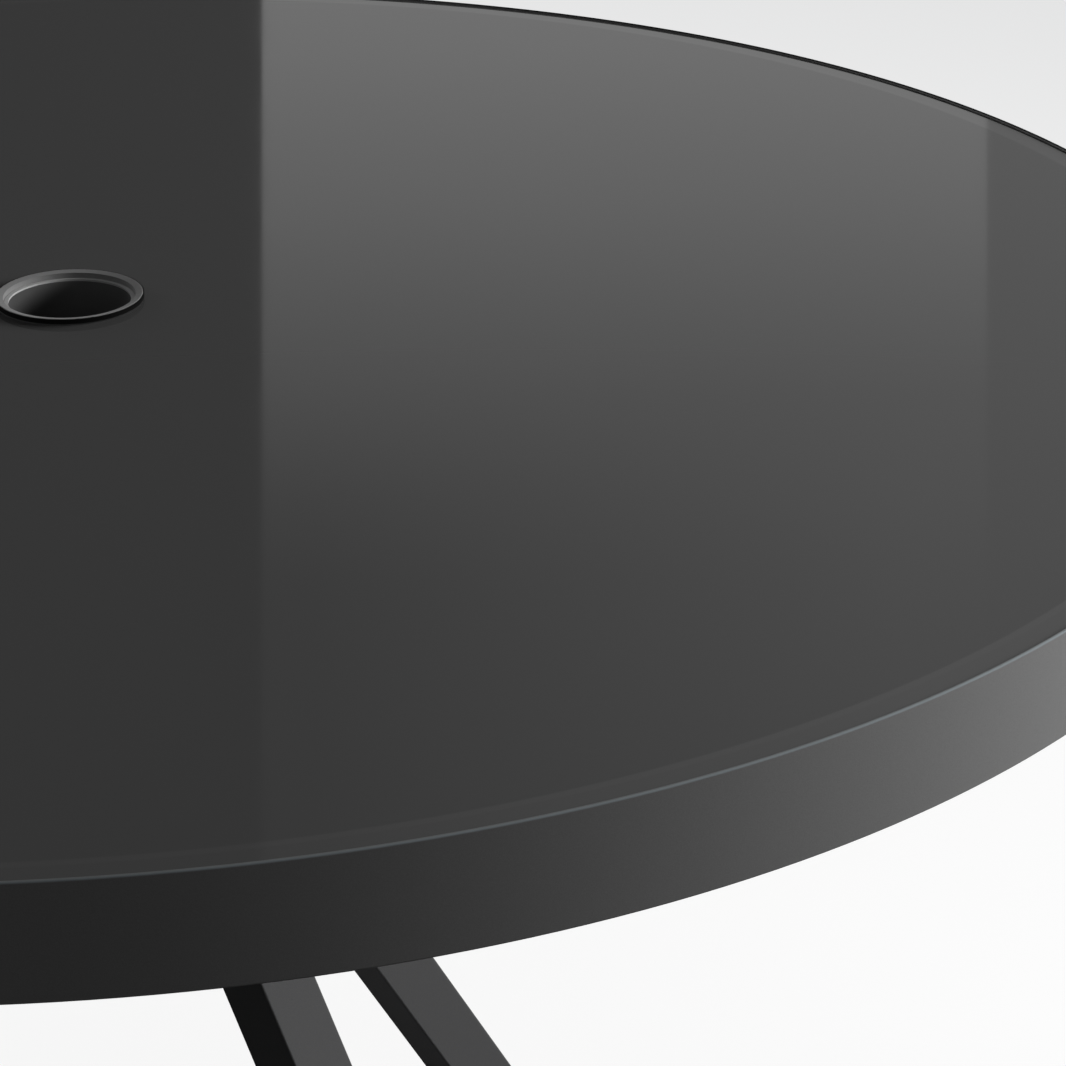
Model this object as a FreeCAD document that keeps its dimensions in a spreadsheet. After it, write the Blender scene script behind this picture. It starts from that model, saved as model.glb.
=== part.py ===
import FreeCAD, Part
import math
import os
import re
import Sketcher

# Round patio dining table: a glass top inset in a rolled metal rim, carried by four arms on a
# pedestal of four splayed square legs, with an umbrella hole through the middle.
# Millimetres, +Z up, origin on the floor under the middle of the top.
# Arms and legs stand on the diagonals, and the front of the table faces -Y.

SIZES = {
    # Top
    "table_height": 750.0,
    "rim_radius": 610.0,
    "rim_height": 51.2,
    "rim_wall": 2.2,
    "rim_edge_round": 1.0,
    "lip_wall": 1.2,
    "lip_rise": 1.4,
    "ledge_width": 16.0,
    "ledge_thickness": 2.2,
    "return_width": 12.0,
    "return_thickness": 2.2,
    "glass_thickness": 6.0,
    "glass_gap": 0.5,
    "glass_arris": 0.8,
    # Bumpers under the glass
    "ledge_pad_height": 2.0,
    "ledge_pad_radius": 6.0,
    "ledge_pads_per_arm": 4.0,
    "arm_pad_radius": 8.0,
    "arm_pad_first": 75.0,
    "arm_pad_pitch": 170.0,
    # Umbrella ring and the trim in its mouth
    "umbrella_bore": 63.5,
    "mouth_ledge": 2.45,
    "mouth_depth": 2.75,
    "trim_width": 3.8,
    "trim_dish": 0.75,
    "trim_edge": 1.0,
    "trim_wall": 0.7,
    "trim_ledge_thickness": 1.0,
    "trim_clearance": 0.1,
    "trim_edge_round": 0.3,
    "ring_flange_floor": 1.6,
    "ring_flange_border": 0.5,
    "ring_flange_rise": 0.8,
    "ring_sleeve_wall": 0.8,
    "ring_sleeve_length": 30.0,
    "gasket_thickness": 0.8,
    "gasket_inset": 0.4,
    "sleeve_clearance": 1.0,
    # Arms and the collar between them
    "arm_side": 30.0,
    "arm_wall": 2.0,
    "arm_corner_round": 1.5,
    "arm_end_gap": 1.8,
    "collar_wall": 3.2,
    # Pedestal
    "column_wall": 3.0,
    "column_corner_round": 4.0,
    "column_skirt": 13.0,
    "plate_thickness": 6.0,
    "plate_margin": 17.0,
    "guide_flange": 5.0,
    "guide_depth": 25.0,
    "guide_clearance": 0.25,
    # Legs
    "leg_side": 35.0,
    "leg_wall": 2.0,
    "leg_corner_round": 1.5,
    "leg_splay": 31.9,
    "foot_radius": 380.0,
    # Levelling feet and the plugs that they screw into
    "foot_pad_radius": 18.0,
    "foot_pad_bevel": 3.0,
    "foot_pad_floor": 4.0,
    "foot_pad_lip": 1.7,
    "foot_pad_mouth_gap": 1.5,
    "swivel_clearance": 0.3,
    "stem_radius": 3.95,
    "stem_disc_radius": 7.0,
    "stem_disc_height": 3.2,
    "stem_neck": 1.4,
    "stem_hex": 13.0,
    "stem_hex_height": 5.0,
    "stem_hex_gap": 0.1,
    "stem_engagement": 22.0,
    "thread_clearance": 0.05,
    "insert_wall": 1.5,
    "insert_spare": 4.0,
    "plug_flange": 4.0,
    "plug_clearance": 0.1,
    "plug_cover": 3.0,
    # Fasteners
    "bolt_radius": 4.0,
    "bolt_length": 20.0,
    "bolt_head_radius": 7.0,
    "bolt_head_height": 4.4,
    "bolt_offset": 20.0,
    "bolt_pitch": 35.0,
    "bolt_hole_clearance": 0.5,
    "washer_radius": 8.0,
    "washer_thickness": 1.6,
    "nut_hex": 13.0,
    "nut_height": 6.5,
    "nut_clearance": 0.05,
    "screw_radius": 2.5,
    "screw_length": 12.0,
    "screw_head_radius": 4.6,
    "screw_head_height": 1.4,
    "screw_spread": 16.0,
    "screw_hole_clearance": 0.3,
    "screw_nut_hex": 8.0,
    "screw_nut_height": 4.0,
}

CORNER_NAMES = ("front_right", "back_right", "back_left", "front_left")
CORNER_COUNT = len(CORNER_NAMES)
DIAGONAL = 180.0 / CORNER_COUNT

# Levels, from the top down
RIM_BOTTOM = "(table_height - rim_height)"
RIM_INSIDE = "(rim_radius - rim_wall)"
LIP_INSIDE = "(rim_radius - lip_wall)"
GLASS_TOP = "(table_height - lip_rise)"
GLASS_BOTTOM = f"({GLASS_TOP} - glass_thickness)"
LEDGE_TOP = f"({GLASS_BOTTOM} - ledge_pad_height)"
ARM_TOP = f"({LEDGE_TOP} - ledge_thickness)"
ARM_BOTTOM = f"({ARM_TOP} - arm_side)"
PLATE_BOTTOM = f"({ARM_BOTTOM} - plate_thickness)"
WASHER_BOTTOM = f"({PLATE_BOTTOM} - washer_thickness)"

# Radii about the umbrella pole, and the square hub that leaves room for the ring's sleeve
BORE_RADIUS = "(umbrella_bore / 2)"
MOUTH_RADIUS = f"({BORE_RADIUS} + mouth_ledge)"
TRIM_RADIUS = f"({MOUTH_RADIUS} + trim_width)"
POCKET_RADIUS = f"({MOUTH_RADIUS} + trim_wall + trim_clearance)"
SLEEVE_RADIUS = f"({POCKET_RADIUS} + ring_sleeve_wall)"
GLASS_HOLE = f"({SLEEVE_RADIUS} + sleeve_clearance)"
FLANGE_RADIUS = f"({TRIM_RADIUS} + trim_clearance + ring_flange_border)"
HUB_HALF = f"({SLEEVE_RADIUS} + sleeve_clearance + collar_wall)"

# Bolts along each arm, and screws in the middle of the rim's ledge
BOLT_RADII = (f"({HUB_HALF} + bolt_offset)", f"({HUB_HALF} + bolt_offset + bolt_pitch)")
SCREW_RADIUS = f"({RIM_INSIDE} - ledge_width / 2)"
SCREW_SIDES = ("(screw_spread / 2)", "(-screw_spread / 2)")

# A leg's run across the floor: the slanted tube is wider along a level line than across it
LEG_SLOPE = "tan(leg_splay)"
LEG_HALF_RUN = "(leg_side / 2 / cos(leg_splay))"
CAVITY_HALF_RUN = "((leg_side / 2 - leg_wall) / cos(leg_splay))"

# Levelling feet from the floor up, standing on the leg's middle line at half the insert's height
FOOT_PAD_TOP = "(foot_pad_floor + stem_disc_height + 2 * swivel_clearance + foot_pad_lip)"
HEX_BOTTOM = f"({FOOT_PAD_TOP} + stem_neck)"
PLUG_BOTTOM = f"({HEX_BOTTOM} + stem_hex_height + stem_hex_gap)"
LEG_BOTTOM = f"({PLUG_BOTTOM} + plug_flange)"
STEM_TOP = f"({PLUG_BOTTOM} + stem_engagement)"
INSERT_TOP = f"({STEM_TOP} + insert_spare)"
INSERT_BORE = "(stem_radius + thread_clearance)"
INSERT_RADIUS = f"({INSERT_BORE} + insert_wall)"
LEVELLER_RADIUS = f"(foot_radius - ({PLUG_BOTTOM} + {INSERT_TOP}) / 2 * {LEG_SLOPE})"

EDGE_TOLERANCE = 0.01

doc = FreeCAD.newDocument("patio_table")
sheet = doc.addObject("Spreadsheet::Sheet", "Sizes")
for row, (name, value) in enumerate(SIZES.items(), start=1):
    sheet.set(f"A{row}", name)
    sheet.set(f"B{row}", str(value))
    sheet.setAlias(f"B{row}", name)
doc.recompute()
sub_parts = []


def cells(text):
    """Rewrite a formula so that each size in it reads its own cell of the sheet."""
    return re.sub("[a-z_]+", lambda word: f"Sizes.{word[0]}" if word[0] in SIZES else word[0], text)


def bind(item, target, text):
    item.setExpression(target, cells(text))


def new_body(label, azimuth=0.0, radius=None):
    """A sub-part turned to its azimuth, with its own axis at a radius from the table's axis."""
    body = doc.addObject("PartDesign::Body", label)
    body.Label = label
    turn = FreeCAD.Rotation(FreeCAD.Vector(0, 0, 1), azimuth)
    body.Placement = FreeCAD.Placement(FreeCAD.Vector(), turn)
    if radius:
        bind(body, "Placement.Base.x", f"{radius} * cos({azimuth})")
        bind(body, "Placement.Base.y", f"{radius} * sin({azimuth})")
    sub_parts.append(body)
    return body


def origin_feature(body, role):
    return next(item for item in body.Origin.OriginFeatures if item.Role == role)


def new_sketch(body, role, along="0", up="0", lift="0"):
    """A sketch on one of the body's planes, shifted within that plane and lifted along its normal."""
    sketch = body.newObject("Sketcher::SketchObject", f"{body.Label}_sketch")
    sketch.AttachmentSupport = [(origin_feature(body, role), "")]
    sketch.MapMode = "FlatFace"
    for axis, text in zip("xyz", (along, up, lift)):
        bind(sketch, f"AttachmentOffset.Base.{axis}", text)
    return sketch


def constrain(sketch, label, text, kind, *where):
    index = sketch.addConstraint(Sketcher.Constraint(kind, *where))
    sketch.renameConstraint(index, label)
    bind(sketch, f"Constraints.{label}", text)


def add_outline(sketch, corners):
    """A closed outline of straight lines: a unit polygon whose corners are then held at their own places."""
    first = sketch.GeometryCount
    count = len(corners)
    angles = [2 * math.pi * i / count for i in range(count)]
    start = [FreeCAD.Vector(math.cos(a), math.sin(a), 0) for a in angles]
    for i in range(count):
        sketch.addGeometry(Part.LineSegment(start[i], start[(i + 1) % count]))
    for i, (x, y) in enumerate(corners):
        line = first + i
        following = first + (i + 1) % count
        sketch.addConstraint(Sketcher.Constraint("Coincident", line, 2, following, 1))
        constrain(sketch, f"line_{line}_x", x, "DistanceX", -1, 1, line, 1, start[i].x)
        constrain(sketch, f"line_{line}_y", y, "DistanceY", -1, 1, line, 1, start[i].y)


def add_circle(sketch, x, y, radius):
    """A unit circle whose radius and middle are then held at their own values."""
    circle = sketch.addGeometry(Part.Circle())
    constrain(sketch, f"circle_{circle}_radius", radius, "Radius", circle, 1.0)
    constrain(sketch, f"circle_{circle}_x", x, "DistanceX", -1, 1, circle, 3, 0.0)
    constrain(sketch, f"circle_{circle}_y", y, "DistanceY", -1, 1, circle, 3, 0.0)


def add_square(sketch, half):
    add_outline(sketch, [(half, half), (f"-{half}", half), (f"-{half}", f"-{half}"), (half, f"-{half}")])


def add_hexagon(sketch, across_flats, x="0", y="0"):
    corner = f"{across_flats} / sqrt(3)"
    turns = range(0, 360, 60)
    add_outline(sketch, [(f"{x} + {corner} * cos({a})", f"{y} + {corner} * sin({a})") for a in turns])


def pad(body, sketch, length, side="One side"):
    feature = body.newObject("PartDesign::Pad", f"{body.Label}_pad")
    feature.Profile = sketch
    feature.SideType = side
    bind(feature, "Length", length)
    return feature


def revolve(body, sketch):
    feature = body.newObject("PartDesign::Revolution", f"{body.Label}_turning")
    feature.Profile = sketch
    feature.ReferenceAxis = (sketch, ["V_Axis"])
    feature.Angle = 360.0
    return feature


def cut(body, sketch, depth=None):
    """Cut a sketch to a depth on both sides of its plane, or right through, and see that it took material."""
    doc.recompute()
    before = body.Shape.Volume
    feature = body.newObject("PartDesign::Pocket", f"{body.Label}_cut")
    feature.Profile = sketch
    feature.SideType = "Symmetric"
    if depth:
        bind(feature, "Length", f"2 * {depth}")
    else:
        feature.Type = "ThroughAll"
    doc.recompute()
    if not body.Shape.Volume < before:
        raise RuntimeError(f"{body.Label}: {feature.Label} cuts nothing")
    return feature


def around(body, originals, count):
    """Repeat features evenly about the table's axis."""
    feature = body.newObject("PartDesign::PolarPattern", f"{body.Label}_pattern")
    feature.Originals = originals
    feature.Axis = (origin_feature(body, "Z_Axis"), [""])
    feature.Angle = 360.0
    bind(feature, "Occurrences", str(count))
    body.Tip = feature
    return feature


def soften(body, kind, size, chosen):
    """Fillet or chamfer the chosen edges of a body as it stands."""
    doc.recompute()
    base = body.Tip
    box = base.Shape.BoundBox
    edges = [f"Edge{i}" for i, edge in enumerate(base.Shape.Edges, start=1) if chosen(edge, box)]
    feature = body.newObject(f"PartDesign::{kind}", f"{body.Label}_{kind.lower()}")
    feature.Base = (base, edges)
    bind(feature, "Radius" if kind == "Fillet" else "Size", size)
    return feature


def is_round(edge):
    return isinstance(edge.Curve, Part.Circle)


def at_top(edge, box):
    return edge.BoundBox.ZMin > box.ZMax - EDGE_TOLERANCE


def at_bottom(edge, box):
    return edge.BoundBox.ZMax < box.ZMin + EDGE_TOLERANCE


def is_outermost(edge, box):
    return edge.BoundBox.XMax > box.XMax - EDGE_TOLERANCE


def is_upright(edge, box):
    return edge.BoundBox.ZLength > box.ZLength - EDGE_TOLERANCE


# Rim: one rolled section with a ledge for the glass inside, a thin lip round the glass and a return below
def make_rim():
    body = new_body("rim", azimuth=DIAGONAL)
    profile = new_sketch(body, "XZ_Plane")
    ledge_inside = f"({RIM_INSIDE} - ledge_width)"
    return_inside = f"({RIM_INSIDE} - return_width)"
    return_top = f"({RIM_BOTTOM} + return_thickness)"
    add_outline(profile, [
        ("rim_radius", RIM_BOTTOM),
        ("rim_radius", "table_height"),
        (LIP_INSIDE, "table_height"),
        (LIP_INSIDE, LEDGE_TOP),
        (ledge_inside, LEDGE_TOP),
        (ledge_inside, ARM_TOP),
        (RIM_INSIDE, ARM_TOP),
        (RIM_INSIDE, return_top),
        (return_inside, return_top),
        (return_inside, RIM_BOTTOM),
    ])
    revolve(body, profile)
    soften(body, "Fillet", "rim_edge_round",
           lambda edge, box: is_round(edge) and is_outermost(edge, box)
           and (at_top(edge, box) or at_bottom(edge, box)))
    holes = new_sketch(body, "XY_Plane", lift=LEDGE_TOP)
    for side in SCREW_SIDES:
        add_circle(holes, SCREW_RADIUS, side, "screw_radius + screw_hole_clearance")
    around(body, [cut(body, holes, "ledge_thickness")], CORNER_COUNT)


# Glass: a flat disc with ground edges, a little smaller than the rim it lies in
def make_glass():
    body = new_body("glass_top")
    disc = new_sketch(body, "XY_Plane", lift=GLASS_BOTTOM)
    add_circle(disc, "0", "0", f"{LIP_INSIDE} - glass_gap")
    add_circle(disc, "0", "0", GLASS_HOLE)
    pad(body, disc, "glass_thickness")
    soften(body, "Chamfer", "glass_arris", lambda edge, box: is_round(edge))


# Bumpers: soft buttons that the glass lies on, round the ledge and along the arms
def make_bumpers():
    half_step = 180.0 / CORNER_COUNT / SIZES["ledge_pads_per_arm"]
    ledge_pads = new_body("ledge_pads", azimuth=DIAGONAL + half_step)
    buttons = new_sketch(ledge_pads, "XY_Plane", lift=LEDGE_TOP)
    add_circle(buttons, SCREW_RADIUS, "0", "ledge_pad_radius")
    around(ledge_pads, [pad(ledge_pads, buttons, "ledge_pad_height")], f"{CORNER_COUNT} * ledge_pads_per_arm")

    arm_pads = new_body("arm_pads", azimuth=DIAGONAL)
    buttons = new_sketch(arm_pads, "XY_Plane", lift=ARM_TOP)
    for step in range(3):
        add_circle(buttons, f"arm_pad_first + {step} * arm_pad_pitch", "0", "arm_pad_radius")
    around(arm_pads, [pad(arm_pads, buttons, "ledge_thickness + ledge_pad_height")], CORNER_COUNT)


# Umbrella ring: a sleeve down through the hole, hung by a flange, with a dished trim let into its mouth
def make_umbrella_ring():
    flange_bottom = f"({GLASS_TOP} + gasket_thickness)"
    flange_floor = f"({flange_bottom} + ring_flange_floor)"
    flange_top = f"({flange_floor} + ring_flange_rise)"
    trim_top = f"({flange_floor} + trim_edge)"
    mouth_top = f"({trim_top} - trim_dish)"
    mouth_floor = f"({mouth_top} - mouth_depth)"
    trim_bottom = f"({mouth_floor} - trim_ledge_thickness)"
    pocket_floor = f"({trim_bottom} - trim_clearance)"
    sleeve_bottom = f"({GLASS_TOP} - ring_sleeve_length)"
    recess_radius = f"({TRIM_RADIUS} + trim_clearance)"
    trim_outside = f"({MOUTH_RADIUS} + trim_wall)"

    body = new_body("umbrella_ring")
    profile = new_sketch(body, "XZ_Plane")
    add_outline(profile, [
        (FLANGE_RADIUS, flange_bottom),
        (FLANGE_RADIUS, flange_top),
        (recess_radius, flange_top),
        (recess_radius, flange_floor),
        (POCKET_RADIUS, flange_floor),
        (POCKET_RADIUS, pocket_floor),
        (BORE_RADIUS, pocket_floor),
        (BORE_RADIUS, sleeve_bottom),
        (SLEEVE_RADIUS, sleeve_bottom),
        (SLEEVE_RADIUS, flange_bottom),
    ])
    revolve(body, profile)

    trim = new_body("ring_trim")
    profile = new_sketch(trim, "XZ_Plane")
    add_outline(profile, [
        (TRIM_RADIUS, flange_floor),
        (TRIM_RADIUS, trim_top),
        (MOUTH_RADIUS, mouth_top),
        (MOUTH_RADIUS, mouth_floor),
        (BORE_RADIUS, mouth_floor),
        (BORE_RADIUS, trim_bottom),
        (trim_outside, trim_bottom),
        (trim_outside, flange_floor),
    ])
    revolve(trim, profile)
    soften(trim, "Fillet", "trim_edge_round", lambda edge, box: is_round(edge) and at_top(edge, box))

    gasket = new_body("ring_gasket")
    washer = new_sketch(gasket, "XY_Plane", lift=GLASS_TOP)
    add_circle(washer, "0", "0", f"{FLANGE_RADIUS} - gasket_inset")
    add_circle(washer, "0", "0", GLASS_HOLE)
    pad(gasket, washer, "gasket_thickness")


# Arms: square tubes from the collar to under the rim's ledge, holed for bolts below and screws above
def make_arm(name, azimuth):
    body = new_body(f"support_arm_{name}", azimuth)
    length = f"({RIM_INSIDE} - arm_end_gap - {HUB_HALF})"
    middle = f"({ARM_TOP} - arm_side / 2)"
    section = new_sketch(body, "YZ_Plane", up=middle, lift=HUB_HALF)
    add_square(section, "(arm_side / 2)")
    pad(body, section, length)
    soften(body, "Fillet", "arm_corner_round", lambda edge, box: edge.Length > box.XLength - EDGE_TOLERANCE)
    hollow = new_sketch(body, "YZ_Plane", up=middle, lift=HUB_HALF)
    add_square(hollow, "(arm_side / 2 - arm_wall)")
    cut(body, hollow)
    bolt_holes = new_sketch(body, "XY_Plane", lift=ARM_BOTTOM)
    for radius in BOLT_RADII:
        add_circle(bolt_holes, radius, "0", "bolt_radius + bolt_hole_clearance")
    cut(body, bolt_holes, "arm_wall")
    screw_holes = new_sketch(body, "XY_Plane", lift=ARM_TOP)
    for side in SCREW_SIDES:
        add_circle(screw_holes, SCREW_RADIUS, side, "screw_radius + screw_hole_clearance")
    cut(body, screw_holes, "arm_wall")


# Collar: a square ring that joins the arms and leaves the umbrella pole its way through
def make_collar():
    body = new_body("frame_collar", azimuth=DIAGONAL)
    square = new_sketch(body, "XY_Plane", lift=ARM_BOTTOM)
    add_square(square, HUB_HALF)
    pad(body, square, "arm_side")
    hollow = new_sketch(body, "XY_Plane", lift=ARM_BOTTOM)
    add_square(hollow, f"({HUB_HALF} - collar_wall)")
    cut(body, hollow)


# Base plate: the pedestal's head, bolted up into the arms
def make_base_plate():
    body = new_body("base_plate", azimuth=DIAGONAL)
    disc = new_sketch(body, "XY_Plane", lift=PLATE_BOTTOM)
    add_circle(disc, "0", "0", f"{BOLT_RADII[-1]} + plate_margin")
    add_circle(disc, "0", "0", SLEEVE_RADIUS)
    pad(body, disc, "plate_thickness")
    holes = new_sketch(body, "XY_Plane", lift=PLATE_BOTTOM)
    for radius in BOLT_RADII:
        add_circle(holes, radius, "0", "bolt_radius + bolt_hole_clearance")
    around(body, [cut(body, holes, "plate_thickness")], CORNER_COUNT)


# Column: the square tube that the legs meet, reaching a little below the lowest leg weld
COLUMN_BOTTOM = f"((foot_radius - {LEG_HALF_RUN} - {HUB_HALF}) / {LEG_SLOPE} - column_skirt)"


def make_column():
    body = new_body("column", azimuth=DIAGONAL)
    square = new_sketch(body, "XY_Plane", lift=COLUMN_BOTTOM)
    add_square(square, HUB_HALF)
    pad(body, square, f"{PLATE_BOTTOM} - {COLUMN_BOTTOM}")
    soften(body, "Fillet", "column_corner_round", is_upright)
    hollow = new_sketch(body, "XY_Plane", lift=COLUMN_BOTTOM)
    add_square(hollow, f"({HUB_HALF} - column_wall)")
    cut(body, hollow)


# Pole guide: a moulded end piece that turns the column's square mouth into a round one
def make_pole_guide():
    body = new_body("pole_guide", azimuth=DIAGONAL)
    flange = new_sketch(body, "XY_Plane", lift=f"{COLUMN_BOTTOM} - guide_flange")
    add_square(flange, HUB_HALF)
    pad(body, flange, "guide_flange")
    soften(body, "Fillet", "column_corner_round", is_upright)
    spigot = new_sketch(body, "XY_Plane", lift=COLUMN_BOTTOM)
    add_square(spigot, f"({HUB_HALF} - column_wall - guide_clearance)")
    pad(body, spigot, "guide_depth")
    bore = new_sketch(body, "XY_Plane", lift=COLUMN_BOTTOM)
    add_circle(bore, "0", "0", f"{BORE_RADIUS} + guide_clearance")
    cut(body, bore)


def leg_radius(height):
    """How far the leg's middle line stands from the table's axis at a height."""
    return f"(foot_radius - {height} * {LEG_SLOPE})"


def leg_section(half_run):
    """The side view of a slanted bar: level at its lower end and upright on the column's face."""
    end_radius = leg_radius(LEG_BOTTOM)
    return [
        (f"{end_radius} + {half_run}", LEG_BOTTOM),
        (f"{end_radius} - {half_run}", LEG_BOTTOM),
        (HUB_HALF, f"(foot_radius - {half_run} - {HUB_HALF}) / {LEG_SLOPE}"),
        (HUB_HALF, f"(foot_radius + {half_run} - {HUB_HALF}) / {LEG_SLOPE}"),
    ]


# Legs: splayed square tubes, mitred upright on the column and cut level at the floor
def make_leg(name, azimuth):
    body = new_body(f"leg_{name}", azimuth)
    side_view = new_sketch(body, "XZ_Plane")
    add_outline(side_view, leg_section(LEG_HALF_RUN))
    pad(body, side_view, "leg_side", "Symmetric")
    soften(body, "Fillet", "leg_corner_round", lambda edge, box: edge.Length > box.ZLength)
    hollow = new_sketch(body, "XZ_Plane")
    add_outline(hollow, leg_section(CAVITY_HALF_RUN))
    cut(body, hollow, "(leg_side / 2 - leg_wall)")


# Leg plugs: a flange under the cut end and a block that follows the slant inside the tube
def make_leg_plug(name, azimuth):
    body = new_body(f"leg_plug_{name}", azimuth)
    end_radius = leg_radius(LEG_BOTTOM)
    flange = new_sketch(body, "XZ_Plane")
    add_outline(flange, [
        (f"{end_radius} + {LEG_HALF_RUN}", LEG_BOTTOM),
        (f"{end_radius} - {LEG_HALF_RUN}", LEG_BOTTOM),
        (f"{end_radius} - {LEG_HALF_RUN}", PLUG_BOTTOM),
        (f"{end_radius} + {LEG_HALF_RUN}", PLUG_BOTTOM),
    ])
    pad(body, flange, "leg_side", "Symmetric")
    soften(body, "Fillet", "leg_corner_round", is_upright)
    block_run = f"({CAVITY_HALF_RUN} - plug_clearance)"
    block_top = f"({INSERT_TOP} + plug_cover)"
    block_end = leg_radius(block_top)
    block = new_sketch(body, "XZ_Plane")
    add_outline(block, [
        (f"{end_radius} + {block_run}", LEG_BOTTOM),
        (f"{end_radius} - {block_run}", LEG_BOTTOM),
        (f"{block_end} - {block_run}", block_top),
        (f"{block_end} + {block_run}", block_top),
    ])
    pad(body, block, "leg_side - 2 * leg_wall - 2 * plug_clearance", "Symmetric")
    bore = new_sketch(body, "XY_Plane", lift=PLUG_BOTTOM)
    add_circle(bore, LEVELLER_RADIUS, "0", INSERT_RADIUS)
    cut(body, bore, f"({INSERT_TOP} - {PLUG_BOTTOM})")


# Threaded inserts: one upright bush in each plug
def make_inserts():
    body = new_body("threaded_inserts", azimuth=DIAGONAL)
    bush = new_sketch(body, "XY_Plane", lift=PLUG_BOTTOM)
    add_circle(bush, LEVELLER_RADIUS, "0", INSERT_RADIUS)
    add_circle(bush, LEVELLER_RADIUS, "0", INSERT_BORE)
    around(body, [pad(body, bush, f"{INSERT_TOP} - {PLUG_BOTTOM}")], CORNER_COUNT)


# Levelling feet: a screw stem with a hexagon to turn it by, its disc held under the lip of a moulded foot pad
def make_leveller(name, azimuth):
    stem = new_body(f"leveller_stem_{name}", azimuth, LEVELLER_RADIUS)
    disc_bottom = "(foot_pad_floor + swivel_clearance)"
    disc = new_sketch(stem, "XY_Plane", lift=disc_bottom)
    add_circle(disc, "0", "0", "stem_disc_radius")
    pad(stem, disc, "stem_disc_height")
    shank = new_sketch(stem, "XY_Plane", lift=f"{disc_bottom} + stem_disc_height")
    add_circle(shank, "0", "0", "stem_radius")
    pad(stem, shank, f"{STEM_TOP} - {disc_bottom} - stem_disc_height")
    hexagon = new_sketch(stem, "XY_Plane", lift=HEX_BOTTOM)
    add_hexagon(hexagon, "stem_hex")
    pad(stem, hexagon, "stem_hex_height")

    foot = new_body(f"leveller_pad_{name}", azimuth, LEVELLER_RADIUS)
    profile = new_sketch(foot, "XZ_Plane")
    socket_radius = "(stem_disc_radius + swivel_clearance)"
    mouth_radius = "(stem_radius + foot_pad_mouth_gap)"
    lip_bottom = f"({FOOT_PAD_TOP} - foot_pad_lip)"
    add_outline(profile, [
        ("0", "0"),
        ("foot_pad_radius", "0"),
        ("foot_pad_radius", f"{FOOT_PAD_TOP} - foot_pad_bevel"),
        ("foot_pad_radius - foot_pad_bevel", FOOT_PAD_TOP),
        (mouth_radius, FOOT_PAD_TOP),
        (mouth_radius, lip_bottom),
        (socket_radius, lip_bottom),
        (socket_radius, "foot_pad_floor"),
        ("0", "foot_pad_floor"),
    ])
    revolve(foot, profile)


# Fasteners: bolts, washers and nuts through the base plate, screws and nuts through the rim's ledge
def make_base_bolts():
    bolts = new_body("base_bolts", azimuth=DIAGONAL)
    head_bottom = f"({WASHER_BOTTOM} - bolt_head_height)"
    turnings = []
    for radius in BOLT_RADII:
        profile = new_sketch(bolts, "XZ_Plane", along=radius)
        add_outline(profile, [
            ("0", head_bottom),
            ("bolt_head_radius / 2", head_bottom),
            ("bolt_head_radius", f"{head_bottom} + bolt_head_height / 2"),
            ("bolt_head_radius", WASHER_BOTTOM),
            ("bolt_radius", WASHER_BOTTOM),
            ("bolt_radius", f"{WASHER_BOTTOM} + bolt_length"),
            ("0", f"{WASHER_BOTTOM} + bolt_length"),
        ])
        turnings.append(revolve(bolts, profile))
    around(bolts, turnings, CORNER_COUNT)

    washers = new_body("base_washers", azimuth=DIAGONAL)
    rings = new_sketch(washers, "XY_Plane", lift=WASHER_BOTTOM)
    for radius in BOLT_RADII:
        add_circle(rings, radius, "0", "washer_radius")
        add_circle(rings, radius, "0", "bolt_radius + bolt_hole_clearance")
    around(washers, [pad(washers, rings, "washer_thickness")], CORNER_COUNT)

    nuts = new_body("weld_nuts", azimuth=DIAGONAL)
    hexagons = new_sketch(nuts, "XY_Plane", lift=f"{ARM_BOTTOM} + arm_wall")
    for radius in BOLT_RADII:
        add_hexagon(hexagons, "nut_hex", x=radius)
        add_circle(hexagons, radius, "0", "bolt_radius + nut_clearance")
    around(nuts, [pad(nuts, hexagons, "nut_height")], CORNER_COUNT)


def make_rim_screws():
    screws = new_body("rim_screws", azimuth=DIAGONAL)
    head_top = f"({LEDGE_TOP} + screw_head_height)"
    turnings = []
    for side in SCREW_SIDES:
        profile = new_sketch(screws, "XZ_Plane", along=SCREW_RADIUS, lift=side)
        add_outline(profile, [
            ("0", head_top),
            ("screw_head_radius", head_top),
            ("screw_head_radius", LEDGE_TOP),
            ("screw_radius", LEDGE_TOP),
            ("screw_radius", f"{LEDGE_TOP} - screw_length"),
            ("0", f"{LEDGE_TOP} - screw_length"),
        ])
        turnings.append(revolve(screws, profile))
    around(screws, turnings, CORNER_COUNT)

    nuts = new_body("rim_nuts", azimuth=DIAGONAL)
    hexagons = new_sketch(nuts, "XY_Plane", lift=f"{ARM_TOP} - arm_wall - screw_nut_height")
    for side in SCREW_SIDES:
        add_hexagon(hexagons, "screw_nut_hex", x=SCREW_RADIUS, y=side)
        add_circle(hexagons, SCREW_RADIUS, side, "screw_radius + nut_clearance")
    around(nuts, [pad(nuts, hexagons, "screw_nut_height")], CORNER_COUNT)


make_rim()
make_glass()
make_bumpers()
make_umbrella_ring()
make_collar()
make_base_plate()
make_column()
make_pole_guide()
make_inserts()
make_base_bolts()
make_rim_screws()
for corner, corner_name in enumerate(CORNER_NAMES):
    corner_azimuth = (2 * corner - 1) * DIAGONAL
    make_arm(corner_name, corner_azimuth)
    make_leg(corner_name, corner_azimuth)
    make_leg_plug(corner_name, corner_azimuth)
    make_leveller(corner_name, corner_azimuth)

doc.recompute()
failed = [item.Label for item in doc.Objects if {"Invalid", "Error"} & set(item.State)]
unsound = [body.Label for body in sub_parts if body.Shape.isNull() or not body.Shape.isValid()]
if failed or unsound:
    raise RuntimeError(f"failed: {failed}, unsound: {unsound}")

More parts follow.
